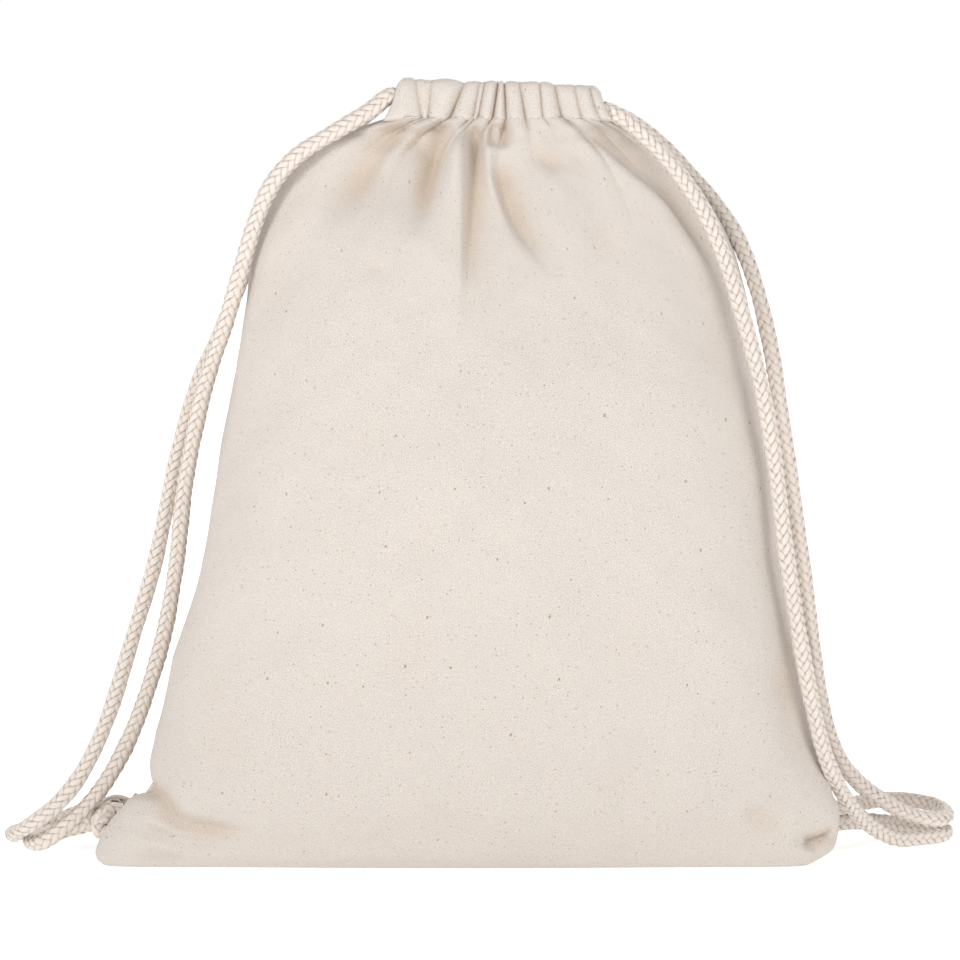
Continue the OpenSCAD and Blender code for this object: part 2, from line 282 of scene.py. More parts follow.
def cord_material(name, colour=CORD_COLOUR, relief=0.00012):
    """Soft spun yarn: fine fibres, with painted shade in the gaps where one plait goes under
    another.
    """
    m = Nodes(name, roughness=0.95, sheen=0.2)
    place = m.place()
    fibres = m.noise(place, 2600, detail=3, roughness=0.6)
    tufts = m.noise(place, 420, detail=2)
    tone = m.times(m.ramp(fibres, 0.3, 0.7, 0.93, 1.05), m.ramp(tufts, 0.3, 0.7, 0.97, 1.02))
    lines = m.math("SINE", m.times(m.attribute("yarn", "Fac"), 2 * math.pi * 6))
    tone = m.times(tone, m.ramp(lines, -1, 1, 0.95, 1.03))
    painted_shade = m.attribute("painted_shade", "Fac")
    base = m.tinted(colour, tone)
    # painted shade: the colour turns dark warm brown deep in the gaps between the plaits
    base = m.mix(painted_shade, base, GAP_SHADE_COLOUR)
    m.link(m.mix(m.times(m.specks(place, 0.012, 0.0004, 0.3), 0.4), base, SPECK_COLOUR),
           m.shader.inputs["Base Color"])
    m.bump(m.plus(m.plus(fibres, m.times(tufts, 0.6)), m.times(lines, 0.35)), relief)
    return m.material


FLOOR_GREY = 0.62
FLOOR_GLOW = (0.15, 1.1, 0.60, 1.0)    # radii between which the floor's glow grows, and its ends


def floor_material():
    """Pale paper near the object, which turns into plain bright backdrop further out."""
    m = Nodes("studio_floor", roughness=0.9, sheen=0.0)
    x, y, _ = m.split(m.place())
    far = m.math("SQRT", m.plus(m.times(x, x), m.times(y, y)))
    m.link((FLOOR_GREY,) * 3, m.shader.inputs["Base Color"])
    m.link((1.0, 1.0, 1.0, 1.0), m.shader.inputs["Emission Color"])
    m.link(m.ramp(far, *FLOOR_GLOW), m.shader.inputs["Emission Strength"])
    return m.material


# ---------------- curves and meshes

def fade(low, high, x):
    t = np.clip((x - low) / (high - low), 0, 1)
    return t * t * (3 - 2 * t)


def smooth(points, per):
    """The points with extra ones between them, on the same smooth curve as in the solid model."""
    p = np.array(points, float)
    padded = np.vstack([p[:1], p, p[-1:]])
    a, b, c, d = padded[:-3], padded[1:-2], padded[2:-1], padded[3:]
    t = (np.arange(per) / per)[None, :, None]
    a, b, c, d = (q[:, None, :] for q in (a, b, c, d))
    curve = b + t * ((c - a) / 2 + t * ((2 * a - 5 * b + 4 * c - d) / 2
                                         + t * (3 * b - a - 3 * c + d) / 2))
    return np.vstack([curve.reshape(-1, p.shape[1]), p[-1:]])


def along(points):
    return np.concatenate([[0], np.cumsum(np.linalg.norm(np.diff(points, axis=0), axis=1))])


def resample(points, step):
    s = along(points)
    count = max(2, int(round(s[-1] / step)) + 1)
    at = np.linspace(0, s[-1], count)
    return np.column_stack([np.interp(at, s, points[:, k]) for k in range(points.shape[1])])


def unit(v):
    return v / np.linalg.norm(v, axis=-1, keepdims=True)


def frames(points):
    """Tangent and two side directions at each point, carried along without twist."""
    tangent = unit(np.gradient(points, axis=0))
    side = np.empty_like(points)
    n = np.array([0, 1, 0.2])
    for i, t in enumerate(tangent):
        n = n - (n @ t) * t
        n = n / np.linalg.norm(n)
        side[i] = n
    return tangent, side, np.cross(tangent, side)


def piece(name, points, faces, material, attributes=None):
    """A smooth-shaded mesh object from points in millimetres, with values for each point."""
    mesh = bpy.data.meshes.new(name)
    mesh.from_pydata((np.asarray(points) * MM).tolist(), [], [tuple(f) for f in faces])
    mesh.polygons.foreach_set("use_smooth", [True] * len(mesh.polygons))
    for key, values in (attributes or {}).items():
        values = np.asarray(values, np.float32)
        if values.ndim == 1:
            layer = mesh.attributes.new(key, "FLOAT", "POINT")
            layer.data.foreach_set("value", values)
        else:
            layer = mesh.attributes.new(key, "FLOAT_VECTOR", "POINT")
            layer.data.foreach_set("vector", values.ravel())
    mesh.materials.append(material)
    mesh.update()
    obj = bpy.data.objects.new(name, mesh)
    bpy.context.scene.collection.objects.link(obj)
    return obj


def grid_faces(rows, columns, closed=False, start=0):
    """Quads of a grid of points, row after row. closed joins the last column to the first."""
    r = np.arange(rows - 1)[:, None]
    c = np.arange(columns if closed else columns - 1)[None, :]
    nxt = (c + 1) % columns
    quads = np.stack([r * columns + c, (r + 1) * columns + c, (r + 1) * columns + nxt,
                      r * columns + nxt], axis=-1)
    return quads.reshape(-1, 4) + start


def grid_normals(grid, closed=False):
    du = np.gradient(grid, axis=0)
    if closed:
        dv = (np.roll(grid, -1, axis=1) - np.roll(grid, 1, axis=1)) / 2
    else:
        dv = np.gradient(grid, axis=1)
    n = np.cross(du, dv)
    return n / np.maximum(np.linalg.norm(n, axis=-1, keepdims=True), 1e-9)


def solid_sheet(name, grid, thickness, material, threads, painted_shade, flip=False, closed=False):
    """A sheet with real thickness: the grid is its outer face, and rims close its edges."""
    rows, columns = grid.shape[:2]
    normals = grid_normals(grid, closed) * (-1 if flip else 1)
    inner = grid - normals * thickness
    m = rows * columns
    skin = grid_faces(rows, columns, closed)
    back = grid_faces(rows, columns, closed, start=m)[:, ::-1]
    index = np.arange(m).reshape(rows, columns)
    edges = [index[0], index[-1][::-1]]
    if not closed:
        edges += [index[:, -1], index[::-1, 0]]
    rims = []
    for edge in edges:
        ends = np.append(edge[1:], edge[0]) if closed else edge[1:]
        starts = edge if closed else edge[:-1]
        rims.append(np.stack([starts, ends, ends + m, starts + m], axis=-1))
    faces = np.vstack([skin, back, *rims])
    if flip:
        faces = faces[:, ::-1]
    points = np.vstack([grid.reshape(-1, 3), inner.reshape(-1, 3)])
    flat = np.vstack([threads.reshape(-1, 3)] * 2) * MM
    return piece(name, points, faces, material,
                 {"threads": flat, "painted_shade": np.concatenate([painted_shade.ravel()] * 2)})


def tube_faces(rings, around):
    """Faces of a tube made of rings of points, closed at both ends."""
    faces = grid_faces(rings, around, closed=True)[:, ::-1].tolist()
    last = (rings - 1) * around
    return faces + [list(range(around - 1, -1, -1)), [last + k for k in range(around)]]


def tube(points, radius, around=8):
    """Points and faces of a plain round tube with closed ends."""
    _, n, b = frames(points)
    a = np.linspace(0, 2 * math.pi, around, endpoint=False)
    ring = np.cos(a)[None, :, None] * n[:, None, :] + np.sin(a)[None, :, None] * b[:, None, :]
    verts = (points[:, None, :] + radius * ring).reshape(-1, 3)
    return verts, tube_faces(len(points), around)


def joined(parts):
    """Points and faces of several meshes as one."""
    points, faces, start = [], [], 0
    for p, f in parts:
        points.append(p)
        faces += [tuple(int(i) + start for i in face) for face in f]
        start += len(p)
    return np.vstack(points), faces


def fit(obj, body, node=None):
    """Says which body a piece rides on and hides the solid node it replaces."""
    if node:
        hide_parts(node)
    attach(obj, body)


def sewn(name, points, faces, thread, body, node=None):
    """A piece made of sewing thread."""
    obj = piece(name, points, faces, thread, {"painted_shade": np.zeros(len(points))})
    fit(obj, body, node)


# ---------------- braided cords

CORD_D = 7.2
SQUEEZED_D = 5.8          # the same cord where the gathers squeeze it
CARRIERS = 6              # strands of the braid that run in each direction
PLAIT_LENGTH = 4.7        # how far along the cord one plait repeats
PLAIT_RELIEF = 0.95       # how far a plait stands above the gaps
CREST = 0.45              # how far the plaits' crests stand outside the cord's mean radius
CORD_AROUND = 64          # points round a cord
CORD_STEP = 0.45          # distance between a cord's rings
FLOOR_CLEAR = 0.05


def braid(angle, length):
    """Height of the braid's surface, how deep in a gap it lies (which sets the painted shade there),
    and its place across the plait.
    """
    turns = angle / (2 * math.pi) * CARRIERS
    u, v = turns + length / PLAIT_LENGTH, turns - length / PLAIT_LENGTH
    iu, iv = np.floor(u), np.floor(v)
    fu, fv = u - iu, v - iv
    arch_u = np.sqrt(np.clip(1 - 0.94 * (2 * fu - 1) ** 2, 0, 1))
    arch_v = np.sqrt(np.clip(1 - 0.94 * (2 * fv - 1) ** 2, 0, 1))
    over_u = 0.62 * np.sin(math.pi / 2 * ((iu + v) % 4)) + 0.62 * arch_u
    over_v = -0.62 * np.sin(math.pi / 2 * ((u + iv) % 4)) + 0.62 * arch_v
    top = over_u >= over_v
    height = np.clip((np.maximum(over_u, over_v) - 0.12) / 1.12, 0, 1)
    uneven = 0.5 + 0.5 * np.sin(iu * 12.9898 % CARRIERS * 7.1 + iv % (2 * CARRIERS) * 3.7)
    gap = np.clip(1 - height / 0.66, 0, 1)
    return height ** 0.8 - 0.16 * uneven * height, gap ** 1.1, np.where(top, fu, fv)


def braided(name, centre, material, phase=0.0, diameter=CORD_D, caps=(False, False)):
    """A cord along a dense centreline. caps round off the ends that can be seen."""
    _, n, b = frames(centre)
    s = along(centre)[:, None]
    a = np.linspace(0, 2 * math.pi, CORD_AROUND, endpoint=False)[None, :]
    height, painted_shade, yarn = braid(a + phase, s)
    swell = 1 + 0.035 * np.sin(s / 9.0 + 5 * phase) + 0.02 * np.sin(s / 3.7 + phase)
    radius = (diameter / 2 + CREST - PLAIT_RELIEF * (1 - height)) * swell
    for cap, distance in zip(caps, (s, s[-1] - s)):
        if cap:
            t = np.clip(distance / 2.2, 0, 1)
            radius = radius * np.sqrt(np.clip(1 - (1 - t) ** 2, 0.02, 1))
    ring = np.cos(a)[..., None] * n[:, None, :] + np.sin(a)[..., None] * b[:, None, :]
    verts = (centre[:, None, :] + radius[..., None] * ring).reshape(-1, 3)
    verts[:, 2] = np.maximum(verts[:, 2], FLOOR_CLEAR)
    faces = tube_faces(len(centre), CORD_AROUND)
    return piece(name, verts, faces, material, {"painted_shade": painted_shade.ravel(), "yarn": yarn.ravel()})


# The middle lines of the four free strands, from the channel's end to the knot.
STRANDS = {
    "left_cord_front": [
        (-33.4, -8.9, 360.6), (-38, -10, 359), (-45.5, -12.5, 353), (-62, -16, 343),
        (-78, -17, 333), (-90, -17, 320), (-98, -16, 303), (-105, -13, 281), (-113, -9, 254),
        (-124, -2, 221), (-133, 4, 178), (-138, 8, 138), (-145, 11, 102), (-157, 13, 65),
        (-169, 13, 40), (-181, 12, 23.5), (-193, 11, 12.5), (-203, 15, 5.5), (-210, 28, 4),
        (-206, 45, 4), (-195, 57, 5), (-181, 55, 8.5), (-171.5, 42, 11), (-169.5, 24.2, 11.3),
    ],
    "left_cord_back": [
        (-33.4, 8.9, 360.6), (-38, 10, 359.2), (-46, 13, 352.5), (-62, 16, 341), (-78, 17, 330),
        (-90, 17, 316), (-98, 15, 299), (-106, 12, 276), (-117, 11, 248), (-129, 12, 221),
        (-139, 14, 184), (-148.5, 16, 140), (-159.5, 15, 103), (-171, 12, 66), (-182.5, 9, 41),
        (-194, 7, 26), (-207, 9, 15.5), (-216, 20, 9), (-219, 38, 6), (-213, 56, 5.5),
        (-200, 68, 8), (-183, 66, 14.5), (-172, 48, 18.5), (-169.5, 24.2, 18.7),
    ],
    "right_cord_front": [
        (62.9, -8.9, 354), (68, -10, 352), (75, -13, 348), (87, -18, 337), (99, -22, 323),
        (110, -26, 306), (119.5, -30, 284), (127, -34, 260), (135, -38, 230), (141.5, -40, 195),
        (147.5, -39, 150), (154, -34, 112), (160.5, -28, 80), (168, -18, 52), (178, -2, 31),
        (190, 15, 15.5), (205, 28, 5.5), (219, 37, 4), (230, 46.5, 4), (232.8, 59.5, 4),
        (226, 70.5, 4), (212.5, 72.8, 5), (199, 62, 8), (183, 41, 11), (172, 34.4, 10.4),
        (162.8, 34, 10.3),
    ],
    "right_cord_back": [
        (62.9, 8.9, 354), (68, 10, 353), (77, 14, 348.5), (90, 18, 339), (103, 17, 326),
        (116, 12, 311), (127.5, 4, 293), (136, -3, 270), (143, -8, 239), (148.5, -10, 203),
        (155.5, -9, 157), (162, -3, 112), (167.5, 5, 76), (175.5, 13, 50), (186, 22, 34.5),
        (198, 29, 24.5), (212, 36, 16), (226, 42, 12), (233, 54, 12.5), (228, 68, 15.5),
        (212, 71, 17.5), (196, 59, 18.5), (182, 40, 18.5), (172, 34.3, 17.8), (162.8, 34, 17.7),
    ],
}
LIPS = (("front", "front_lip"), ("back", "back_lip"))
KNOT_WRAPS = 2.15
KNOT_WRAP_R = 6.3
KNOT_PITCH = 5.4          # how far one wrap moves along the strands


def box_mm(node):
    """The two corners of a solid node's box, in millimetres."""
    low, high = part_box(node)
    return np.array(low) / MM, np.array(high) / MM


def knot_pieces(name, place, axis, material):
    """A stopper knot: wraps of cord round the two strands, and two tails with cut ends."""
    axis = np.array(axis, float)
    across = np.cross(axis, UP)
    start = np.array(place, float)
    a = np.linspace(0, 2 * math.pi * KNOT_WRAPS, 160)
    t = a / a[-1]
    r = KNOT_WRAP_R * np.sin(math.pi * t).clip(0) ** 0.18
    r = np.where((t < 0.06) | (t > 0.94), KNOT_WRAP_R * 0.75, r)
    depth = 2.8 + KNOT_PITCH * KNOT_WRAPS * t
    coil = (start + depth[:, None] * axis + r[:, None] * (np.cos(a + 0.5)[:, None] * across
            + np.sin(a + 0.5)[:, None] * UP))
    wrap = braided(name, resample(smooth(coil[::4], 6), CORD_STEP), material, caps=(True, True))
    tails = []
    for i, sign in enumerate((-1, 1)):
        tail = [start + axis * 2 + UP * sign * 3.4, start + axis * 12 + UP * sign * 3.2,
                start + axis * 18 + UP * sign * 4.2 + across * sign,
                start + axis * 24 + UP * sign * 5.4 + across * 2.5 * sign]
        tails.append(braided(f"{name}_tail_{i + 1}", resample(smooth(tail, 12), CORD_STEP), material,
                             phase=1.3 * i, diameter=CORD_D - 0.5, caps=(False, True)))
    return wrap, tails


def make_strands(material):
    """The free strands, from the channels' ends down to the knots, each in place of its solid
    strand.
    """
    for i, (name, route) in enumerate(STRANDS.items()):
        lip = name.split("_")[-1] + "_lip"
        line = resample(smooth(route, 24), CORD_STEP)
        strand = braided(name, line, material, phase=0.7 * i)
        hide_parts(f"{name}_strand")
        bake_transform(strand)


def make_runs(material):
    """The stretches of both cords inside the channels."""
    for side, lip in LIPS:
        for owner in ("left", "right"):
            node = f"{owner}_cord_{side}_run"
            low, high = box_mm(node)
            middle = (low + high) / 2
            ends = np.array([[low[0], middle[1], middle[2]], [high[0], middle[1], middle[2]]])
            run = braided(f"{owner}_cord_in_{side}_channel", resample(ends, CORD_STEP), material,
                          diameter=SQUEEZED_D)
            fit(run, lip, node)


def make_turns(material):
    """Where a cord turns from the front channel to the back one, in two halves."""
    for owner, sign in (("left", 1), ("right", -1)):
        node = f"{owner}_cord_turn"
        low, high = box_mm(node)
        radius = (high[1] - low[1] - CORD_D) / 2
        height = (low[2] + high[2]) / 2
        centre = low[0] if sign > 0 else high[0]
        for side, lip in LIPS:
            a = np.linspace(-math.pi / 2, 0, 40) * (1 if side == "front" else -1)
            arc = np.column_stack([centre + sign * radius * np.cos(a), radius * np.sin(a),
                                   np.full_like(a, height)])
            half = braided(f"{owner}_cord_turn_{side}", resample(arc, CORD_STEP), material)
            if side == "front":
                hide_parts(node)
            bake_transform(half)


def make_knots(material):
    for owner, axis in (("left", (0, -1, 0)), ("right", (-1, 0, 0))):
        node = f"{owner}_cord_knot"
        low, high = box_mm(node)
        middle = (low + high) / 2
        entry = np.where(np.array(axis) < 0, high, middle)
        wrap, tails = knot_pieces(node, entry, axis, material)
        fit(wrap, "bag", node)
        for tail in tails:
            fit(tail, "bag")


def make_cords():
    material = cord_material("cotton_cord")
    make_strands(material)
    make_runs(material)
    make_turns(material)
    make_knots(material)


# ---------------- the bag's cloth

# The outline from the floor up: height, middle in x, half width, half depth, squareness.
PROFILE = [
    (0, -5, 166, 28, 2.6),
    (8, -1, 174, 40, 1.9),
    (24, 6, 168, 52, 1.8),
    (44, 9.5, 159, 60, 2.0),
    (84, 12, 150.5, 68, 2.3),
    (130, 14, 141, 71, 2.4),
    (175, 14.5, 133.5, 69, 2.4),
    (218, 15.5, 126, 62, 2.4),
    (258, 14.5, 119, 51, 2.3),
    (288, 12, 113, 40.5, 2.2),
    (308, 10, 105, 32.5, 2.2),
    (323, 8.5, 96, 26, 2.2),
    (336, 9, 82, 20, 2.3),
    (344, 12, 65, 16, 2.6),
    (350.4, 14.7, 48, 14.2, 8),
]
PANEL_WIDTH = 372         # flat width of a panel, seam to seam
COLUMNS = 320             # steps across a panel
ROW_STEP = 1.05           # distance between a panel's rows
BASE_ROWS = 14            # rows from the bottom seam to the edge of the base
CLOTH_T = 0.6
SEAM_GAP = 0.02           # half the gap between the panels at their seams
EAR_FORWARD = 14          # how far the bottom corners bend forward
EAR_TOP = 70              # height above which they no longer do
MOUTH = (-33.0, 62.5)     # the two ends of the drawn mouth
STITCH_Z = 349.0          # height of the stitch row
STITCH_Y = 13.8           # and its distance from the middle of the mouth
CHANNEL_Y = 8.9           # distance of a channel's middle from the middle of the mouth

# Grooves between the ruffles: place at the stitch row, place at the top edge, depth, reach down.
FRONT_GROOVES = [
    (-20.2, -24, 1, 9), (-17.4, -16, 0.7, 7), (-8, -1.5, 1.4, 18), (2.2, 5.6, 1, 26),
    (4.6, 8.2, 1.2, 20), (11.8, 14.8, 1.5, 13), (18.3, 17.3, 1.4, 14), (27.2, 24.2, 0.9, 8),
    (35.5, 34, 0.2, 5), (44.5, 41.3, 1.1, 22), (52.5, 50, 0.3, 10), (58.8, 57, 0.6, 8),
]
BACK_GROOVES = [
    (-25, -24, 0.8, 10), (-17.5, -19, 1.2, 18), (-11, -9, 0.7, 8), (-3, -2, 1.4, 24),
    (5.5, 7.5, 0.9, 12), (11, 12, 0.6, 8), (20.5, 18, 1.4, 26), (28, 27.5, 0.8, 10),
    (36.5, 39, 1.1, 20), (45, 44, 0.8, 9), (54, 52, 1, 14),
]

# Folds as seen from the front: height above the cloth (a groove is negative), half widths
# to the left and right of the line looking along it, sharpness (1 is a crease, 2 is soft),
# the share of its length over which it fades in and out, and the line itself as (x, z).
FRONT_FOLDS = [
    (-10, 10, 12, 2, 0.12, 0.55, [(-24, 350), (-30, 343), (-38, 333), (-47, 324), (-60, 314),
     (-74, 304)]),
    (5.5, 8, 7, 2, 0.1, 0.65, [(-19, 352), (-27, 343), (-34, 334), (-41, 325), (-51, 315),
     (-62, 304)]),
    (-9.5, 9, 6, 1.7, 0.12, 0.55, [(-8, 352), (-11, 346), (-14, 339.5), (-17.5, 327), (-22, 307),
     (-26, 290)]),
    (4.6, 5, 5, 2, 0.1, 0.7, [(-3, 352), (-4.5, 340), (-6, 322), (-8, 303)]),
    (-7.6, 2.4, 14, 1.6, 0.12, 0.66, [(2.6, 352), (1.8, 337), (1.4, 322), (0.6, 302), (1, 280),
     (2, 258)]),
    (2.2, 7, 1.8, 1.3, 0.15, 0.6, [(-1, 345), (-1.6, 330), (-2, 309), (-2.8, 284), (-3.4, 255),
     (-3.6, 230)]),
    (4.2, 3.4, 3.6, 2, 0.05, 0.6, [(8, 352), (8, 346), (9.6, 335), (12, 321), (17, 307),
     (24, 293)]),
    (-5, 1.6, 3.4, 1.2, 0.15, 0.25, [(12.3, 352), (11.3, 346), (10.8, 340), (10.8, 336)]),
    (-7, 3.5, 15, 1.7, 0.2, 0.62, [(11.5, 336), (14, 326), (17.5, 315), (24, 301), (33, 288),
     (44, 273)]),
    (-4.2, 2, 2.8, 1.3, 0.12, 0.4, [(18.3, 352), (18, 346), (17.6, 339), (17.6, 335)]),
    (2.8, 6, 4.5, 1.8, 0.1, 0.6, [(21, 352), (26, 348), (30, 344), (35.5, 336), (39, 327)]),
    (-2.4, 4, 12, 2, 0.1, 0.7, [(27, 352), (29, 346), (33, 339), (39, 331), (46, 322), (52, 312)]),
    (-1.3, 4, 6, 1.8, 0.2, 0.5, [(13.5, 333), (22, 335), (32, 332.5), (40, 330), (50, 329.5),
     (66, 328)]),
    (2.8, 9, 4, 1.6, 0.1, 0.5, [(42.5, 352), (51, 347), (60, 340), (70, 332), (80.5, 323.5),
     (90, 315), (98, 304), (108, 288), (118, 269)]),
    (-6, 3.5, 12, 1.8, 0.15, 0.5, [(46, 350), (54, 345.5), (64, 338), (74, 330), (84, 322),
     (94, 313), (102, 302), (112, 286), (122, 268)]),
    (-1.6, 9, 10, 2, 0.3, 0.5, [(54, 305), (60, 293), (66, 276), (71, 258), (74, 236)]),
    (-1, 5, 6, 1.8, 0.3, 0.5, [(-50, 283), (-40, 280), (-30, 276)]),
    (-1.4, 7, 9, 2, 0.3, 0.6, [(-84, 300), (-92, 272), (-98, 240), (-104, 205)]),
    (-3.6, 9, 7, 2, 0.3, 0.3, [(150, 190), (151, 145), (150, 107), (152, 79), (156, 55),
     (161, 37)]),
    (-5.4, 3.6, 4.5, 1.7, 0, 0.48, [(-150, 36), (-145, 33.5), (-141, 28), (-137, 22.5),
     (-128, 19.5), (-112, 17.5), (-96, 17)]),
    (2, 3.5, 3.5, 2, 0.2, 0.5, [(-156, 26), (-146, 21.5), (-134, 17.5), (-118, 15)]),
    (-3.2, 2.8, 4.5, 1.7, 0.3, 0.45, [(-162, 21), (-150, 17.5), (-139, 14.5), (-125, 11.7),
     (-106, 10.3)]),
    (-2.4, 2.2, 3, 1.6, 0.3, 0.4, [(-158, 6.5), (-146, 5.5), (-134, 3.2), (-126, 1.8)]),
    (-6, 1.6, 2.6, 1.2, 0.2, 0.1, [(157, 10), (164, 11.5), (174, 15)]),
    (2.6, 3, 2, 1.6, 0.3, 0.2, [(149, 13), (157, 8.5), (164, 6.5)]),
    (-1.6, 5, 6, 2, 0.3, 0.5, [(128, 30), (140, 21), (152, 13)]),
]
BACK_FOLDS = [
    (-5.6, 7, 8, 1.8, 0.12, 0.6, [(-18, 352), (-24, 342), (-33, 328), (-46, 312), (-58, 300)]),
    (2.8, 6, 6, 2, 0.05, 0.6, [(-9, 352), (-13, 338), (-20, 322), (-29, 305)]),
    (-7.4, 2.6, 9, 1.5, 0.12, 0.6, [(-3, 352), (-3.5, 338), (-6, 320), (-9, 300), (-14, 276)]),
    (3.2, 5, 5, 2, 0.05, 0.6, [(4, 352), (4, 336), (5, 318), (7, 298), (10, 275)]),
    (-6.8, 8, 2.6, 1.5, 0.12, 0.6, [(20.5, 352), (21.5, 338), (24, 320), (28, 301), (34, 280),
     (38, 262)]),
    (2.8, 5, 6, 2, 0.05, 0.6, [(29, 352), (32, 340), (38, 325), (47, 309), (58, 295)]),
    (-5.2, 5, 10, 1.7, 0.12, 0.6, [(37, 352), (45, 341), (57, 329), (72, 315), (86, 302)]),
    (2.6, 7, 5, 1.8, 0.1, 0.6, [(46, 351), (60, 341), (76, 330), (92, 315), (104, 296)]),
    (-2.2, 9, 9, 2, 0.3, 0.5, [(-60, 300), (-78, 282), (-92, 260), (-100, 230)]),
    (-1.6, 10, 10, 2, 0.3, 0.5, [(60, 286), (70, 262), (76, 232)]),
    (-1.6, 9, 9, 2, 0.3, 0.5, [(-40, 60), (-10, 48), (30, 45), (70, 52)]),
    (-4.2, 4.5, 5.5, 1.8, 0, 0.75, [(-150, 36), (-145, 33.5), (-139, 31), (-130, 28), (-118, 26)]),
    (-2.4, 4, 4, 1.8, 0.1, 0.6, [(-162, 20), (-146, 16), (-130, 12), (-112, 10)]),
    (-3, 5, 5, 1.8, 0, 0.65, [(176, 34), (166, 30), (152, 24), (136, 20)]),
]

# The left edge by the folded-up corner: height, and how far out the edge stands there.
LEFT_EDGE = [
    (0, -171.5), (2.1, -174.3), (5.5, -175.1), (9.3, -174), (14.5, -171.7), (20, -168.2),
    (24.6, -164), (27, -161.8), (29.5, -160), (31.2, -157.6), (32.4, -153.5), (33.2, -149),
    (34.2, -145.6), (35.6, -145.3), (37.8, -147), (40.8, -148.3), (46, -149.1), (50, -148.6),
    (60.5, -146.6), (70, -143.8), (81.7, -141.4), (96.4, -138.6), (111, -134), (123.6, -129.2),
    (140, -124.8),
]

EDGE_FADE = (90, 138)     # heights between which the left edge leaves its table
RIGHT_BULGE = 3.5         # how far the right edge stands out above its corner
BULGE_Z = 30              # and at which height


def profile_rows():
    """Dense rows of the outline, a little closer together halfway up than at the bottom and top."""
    table = np.array(PROFILE, float)
    dense = smooth(table, 40)
    heights = dense[:, 0]
    count = int(round(heights[-1] / ROW_STEP))
    at = np.linspace(0, 1, count + 1)
    z = heights[-1] * (at + 0.06 * np.sin(2 * math.pi * at) / (2 * math.pi))
    return np.column_stack([z] + [np.interp(z, heights, dense[:, k]) for k in range(1, 5)])


def outline(row, side):
    """Evenly spaced points of one panel's half outline at one height, from left to right."""
    z, middle, width, depth, squareness = row
    a = np.linspace(0, math.pi, 900)
    c = np.cos(a)
    across = -np.sign(c) * np.abs(c) ** (2 / squareness)
    y = side * (SEAM_GAP + depth * np.sin(a).clip(0) ** (2 / squareness))
    ear = EAR_FORWARD * np.abs(across) ** 5 * (1 - fade(10, EAR_TOP, z))
    line = np.column_stack([middle + width * across, y - ear])
    s = along(line)
    at = np.linspace(0, s[-1], COLUMNS + 1)
    return np.column_stack([np.interp(at, s, line[:, 0]), np.interp(at, s, line[:, 1]),
                            np.full(COLUMNS + 1, z)])


def panel_grid(side):
    """Rows of one panel, first across the base from the bottom seam and then up the wall."""
    rows = profile_rows()
    wall = np.array([outline(row, side) for row in rows])
    rim = wall[0]
    seam = rim.copy()
    ear = EAR_FORWARD * np.abs((rim[:, 0] - rows[0, 1]) / rows[0, 2]) ** 5
    seam[:, 1] = side * SEAM_GAP - ear
    t = np.linspace(0, 1, BASE_ROWS, endpoint=False)[:, None, None]
    base = seam[None] * (1 - t) + rim[None] * t
    return np.vstack([base, wall])


def fold_height(x, z, fold):
    """Height of one fold at places (x, z) seen from the front."""
    height, left, right, sharpness, fade_in, fade_out, line = fold
    line = smooth(np.array(line, float), 5)
    s = along(line)
    best = np.full(x.shape, 1e9)
    signed = np.zeros(x.shape)
    share = np.zeros(x.shape)
    for (ax, az), (bx, bz), s0, s1 in zip(line[:-1], line[1:], s[:-1], s[1:]):
        dx, dz = bx - ax, bz - az
        t = np.clip(((x - ax) * dx + (z - az) * dz) / (dx * dx + dz * dz), 0, 1)
        ex, ez = x - ax - t * dx, z - az - t * dz
        d = np.hypot(ex, ez)
        closer = d < best
        best = np.where(closer, d, best)
        signed = np.where(closer, dx * ez - dz * ex, signed)
        share = np.where(closer, (s0 + t * (s1 - s0)) / s[-1], share)
    width = np.where(signed > 0, right, left)
    section = np.exp(-(best / width) ** sharpness)
    ends = 1 - fade(1 - fade_out, 1, share)
    if fade_in:
        ends = ends * fade(-0.001, fade_in, share)
    return height * section * ends


def ruffle(x, grooves, wide):
    """Outward height of the gathered cloth along the mouth: round lobes with sharp grooves."""
    places = np.array([MOUTH[0] - 3] + [g[0] for g in grooves] + [MOUTH[1] + 3])
    i = np.clip(np.searchsorted(places, x) - 1, 0, len(places) - 2)
    low, high = places[i], places[i + 1]
    t = np.clip((x - low) / (high - low), 0, 1)
    crest = np.minimum(1.0, (high - low) / 9.5) ** 0.8
    lobe = crest * np.clip(1 - (2 * t - 1) ** 2, 0, 1) ** 0.72 * wide
    shallow = 1 - np.array([g[2] for g in grooves]) / 1.5
    for k, (place, _, depth, _) in enumerate(grooves):
        near = np.exp(-((x - place) / 2.6) ** 2)
        crease = np.exp(-(np.abs(x - place) / 1.2) ** 1.3)
        lobe = lobe + near * shallow[k] * 0.5 * wide - depth * crease
    return np.maximum(lobe, -1.4)


def leaning(x, rise, grooves):
    """Places along the stitch row whose ruffles have leant to x at a share rise of the channel."""
    foot = np.array([MOUTH[0] - 3] + [g[0] for g in grooves] + [MOUTH[1] + 3])
    head = np.array([MOUTH[0] - 3] + [g[1] for g in grooves] + [MOUTH[1] + 3])
    return np.array([np.interp(at, foot + (head - foot) * share, foot)
                     for at, share in zip(x, rise)])


def gathers(x, z, grooves):
    """Ruffles that run down from the stitch row into the panel and fade out."""
    places = np.array([g[0] for g in grooves])
    reach = np.array([g[3] for g in grooves], float)
    weight = np.exp(-((x[..., None] - places) / 4.0) ** 2) + 1e-6
    reach = (weight * reach).sum(-1) / weight.sum(-1)
    below = STITCH_Z - z
    keep = np.exp(-(np.clip(below, 0, None) / reach) ** 1.2)
    return ruffle(x, grooves, RUFFLE) * keep


